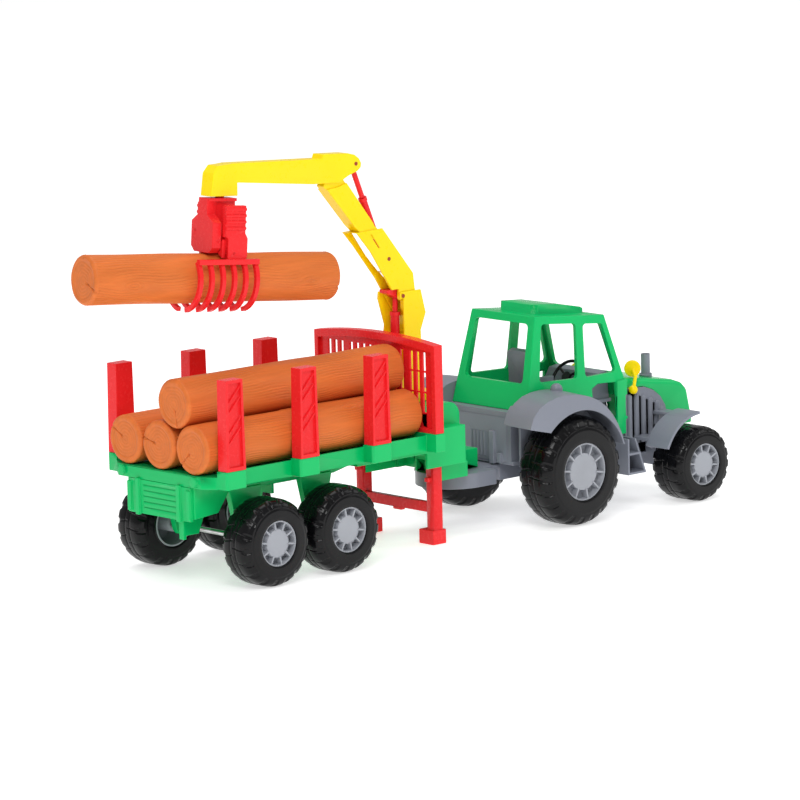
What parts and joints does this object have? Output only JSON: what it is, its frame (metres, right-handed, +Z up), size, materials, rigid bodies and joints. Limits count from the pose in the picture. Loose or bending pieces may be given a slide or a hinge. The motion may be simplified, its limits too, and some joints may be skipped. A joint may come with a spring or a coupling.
{
  "type": "toy tractor",
  "caption": "Plastic toy tractor with a hitched timber trailer, removable stakes, toy logs, a folding stand and a loading crane whose grab holds a log.",
  "frame": {"origin": "on the floor under the middle of the toy's length", "axes": "+X towards the tractor's nose, +Y to its left, +Z up"},
  "size_m": [0.6231, 0.1692, 0.3286],
  "materials": {
    "green_plastic": "gloss",
    "grey_plastic": "satin",
    "red_plastic": "gloss",
    "yellow_plastic": "gloss",
    "wood_plastic": "moulded wood grain",
    "black_plastic": "satin",
    "tyre": "matte",
    "steel": "bright",
    "pin_plastic": "satin"
  },
  "bodies": {
    "tractor": {"lower_body": "grey_plastic", "underframe": "grey_plastic", "cab_and_hood": "green_plastic", "cab_interior": "grey_plastic", "exhaust_stack": "grey_plastic", "mirror_left": "yellow_plastic", "mirror_right": "yellow_plastic"},
    "steering_wheel": {"steering_wheel": "black_plastic"},
    "tractor_front_wheels": {"tractor_front_axle": "steel", "tractor_front_rim_left": "grey_plastic", "tractor_front_rim_right": "grey_plastic", "tractor_front_tyre_left": "tyre", "tractor_front_tyre_right": "tyre"},
    "tractor_rear_wheels": {"tractor_rear_axle": "steel", "tractor_rear_rim_left": "grey_plastic", "tractor_rear_rim_right": "grey_plastic", "tractor_rear_tyre_left": "tyre", "tractor_rear_tyre_right": "tyre"},
    "trailer_front_wheels": {"trailer_front_axle": "steel", "trailer_front_rim_left": "grey_plastic", "trailer_front_rim_right": "grey_plastic", "trailer_front_tyre_left": "tyre", "trailer_front_tyre_right": "tyre"},
    "trailer_rear_wheels": {"trailer_rear_axle": "steel", "trailer_rear_rim_left": "grey_plastic", "trailer_rear_rim_right": "grey_plastic", "trailer_rear_tyre_left": "tyre", "trailer_rear_tyre_right": "tyre"},
    "trailer": {"trailer_deck": "green_plastic", "trailer_chassis": "green_plastic", "headboard": "red_plastic", "stake_left_rear": "red_plastic", "stake_left_middle": "red_plastic", "stake_left_front": "red_plastic", "stake_right_rear": "red_plastic", "stake_right_middle": "red_plastic", "stake_right_front": "red_plastic", "hitch_pin": "red_plastic"},
    "support_leg": {"support_leg": "red_plastic"},
    "crane_column": {"crane_column": "yellow_plastic", "column_pins": "pin_plastic"},
    "lift_barrel": {"lift_barrel": "red_plastic"},
    "lift_rod": {"lift_rod": "red_plastic"},
    "boom": {"boom_lower": "yellow_plastic", "boom_upper": "yellow_plastic", "boom_pins": "pin_plastic"},
    "arm": {"crane_arm": "yellow_plastic", "arm_pin": "pin_plastic"},
    "arm_barrel": {"arm_barrel": "red_plastic"},
    "arm_rod": {"arm_rod": "red_plastic"},
    "grab": {"grab_frame": "red_plastic", "grab_pins": "pin_plastic"},
    "jaw_left": {"grab_jaw_left": "red_plastic"},
    "jaw_right": {"grab_jaw_right": "red_plastic"},
    "log_deck_left": {"log_deck_left": "wood_plastic"},
    "log_deck_middle": {"log_deck_middle": "wood_plastic"},
    "log_deck_right": {"log_deck_right": "wood_plastic"},
    "log_deck_top": {"log_deck_top": "wood_plastic"},
    "log_gripped": {"log_gripped": "wood_plastic"}
  },
  "joints": [
    {"name": "steering_turn", "type": "hinge", "parent": "tractor", "child": "steering_wheel", "pos_m": [0.1984, 0, 0.109], "axis": [-0.8192, 0, 0.5736], "continuous": true},
    {"name": "tractor_front_roll", "type": "hinge", "parent": "tractor", "child": "tractor_front_wheels", "pos_m": [0.2796, 0, 0.032], "axis": [0, 1, 0], "continuous": true},
    {"name": "tractor_rear_roll", "type": "hinge", "parent": "tractor", "child": "tractor_rear_wheels", "pos_m": [0.1364, 0, 0.0459], "axis": [0, 1, 0], "continuous": true},
    {"name": "hitch_turn", "type": "hinge", "parent": "tractor", "child": "trailer", "pos_m": [0.0654, 0, 0.05], "axis": [0, 0, 1], "range_deg": [-35, 35]},
    {"name": "trailer_front_roll", "type": "hinge", "parent": "trailer", "child": "trailer_front_wheels", "pos_m": [-0.1239, 0, 0.0353], "axis": [0, 1, 0], "continuous": true},
    {"name": "trailer_rear_roll", "type": "hinge", "parent": "trailer", "child": "trailer_rear_wheels", "pos_m": [-0.1986, 0, 0.0353], "axis": [0, 1, 0], "continuous": true},
    {"name": "leg_fold", "type": "hinge", "parent": "trailer", "child": "support_leg", "pos_m": [0.0039, 0, 0.069], "axis": [0, 1, 0], "range_deg": [0, 90]},
    {"name": "crane_slew", "type": "hinge", "parent": "trailer", "child": "crane_column", "pos_m": [0.0124, 0, 0.114], "axis": [0, 0, 1], "range_deg": [-100, 100]},
    {"name": "boom_lift", "type": "hinge", "parent": "crane_column", "child": "boom", "pos_m": [0.0174, 0, 0.191], "axis": [0, 1, 0], "range_deg": [-7, 20]},
    {"name": "lift_barrel_swing", "type": "hinge", "parent": "crane_column", "child": "lift_barrel", "pos_m": [0.0027, 0, 0.132], "axis": [0, 1, 0], "range_deg": [-2, 4.5]},
    {"name": "lift_rod_slide", "type": "slide", "parent": "lift_barrel", "child": "lift_rod", "axis": [0.028, 0, 0.9996], "range_m": [-0.002, 0.0048]},
    {"name": "arm_bend", "type": "hinge", "parent": "boom", "child": "arm", "pos_m": [-0.0606, 0, 0.3073], "axis": [0, 1, 0], "range_deg": [-10, 15]},
    {"name": "arm_barrel_swing", "type": "hinge", "parent": "boom", "child": "arm_barrel", "pos_m": [-0.0079, 0, 0.2336], "axis": [0, 1, 0], "range_deg": [-1, 1]},
    {"name": "arm_rod_slide", "type": "slide", "parent": "arm_barrel", "child": "arm_rod", "axis": [-0.3728, 0, 0.9279], "range_m": [-0.0062, 0.0042]},
    {"name": "grab_rotate", "type": "hinge", "parent": "arm", "child": "grab", "pos_m": [-0.1806, 0, 0.303], "axis": [0.0872, 0, 0.9962], "continuous": true},
    {"name": "jaw_right_open", "type": "hinge", "parent": "grab", "child": "jaw_right", "pos_m": [-0.18584, -0.01188, 0.2623], "axis": [-0.9865, 0.1392, 0.0863], "range_deg": [0, 15]},
    {"name": "jaw_left_open", "type": "hinge", "parent": "grab", "child": "jaw_left", "pos_m": [-0.18251, 0.01188, 0.26201], "axis": [0.9865, -0.1392, -0.0863], "range_deg": [0, 15]},
    {"name": "gripped_log_slide", "type": "slide", "parent": "grab", "child": "log_gripped", "axis": [-0.9865, 0.1392, 0.0863], "range_m": [-0.05, 0.06]},
    {"name": "log_left_slide", "type": "slide", "parent": "trailer", "child": "log_deck_left", "axis": [-1, 0, 0], "range_m": [0, 0.24]},
    {"name": "log_middle_slide", "type": "slide", "parent": "trailer", "child": "log_deck_middle", "axis": [-1, 0, 0], "range_m": [0, 0.24]},
    {"name": "log_right_slide", "type": "slide", "parent": "trailer", "child": "log_deck_right", "axis": [-1, 0, 0], "range_m": [0, 0.24]},
    {"name": "log_top_slide", "type": "slide", "parent": "trailer", "child": "log_deck_top", "axis": [-1, 0, 0], "range_m": [0, 0.24]}
  ],
  "couplings": [
    {"joint": "lift_barrel_swing", "follows": "boom_lift", "ratio": 0.182},
    {"joint": "lift_rod_slide", "follows": "boom_lift", "m_per_rad": 0.0121},
    {"joint": "arm_barrel_swing", "follows": "arm_bend", "ratio": -0.02},
    {"joint": "arm_rod_slide", "follows": "arm_bend", "m_per_rad": -0.0212},
    {"joint": "jaw_left_open", "follows": "jaw_right_open", "ratio": 1}
  ]
}
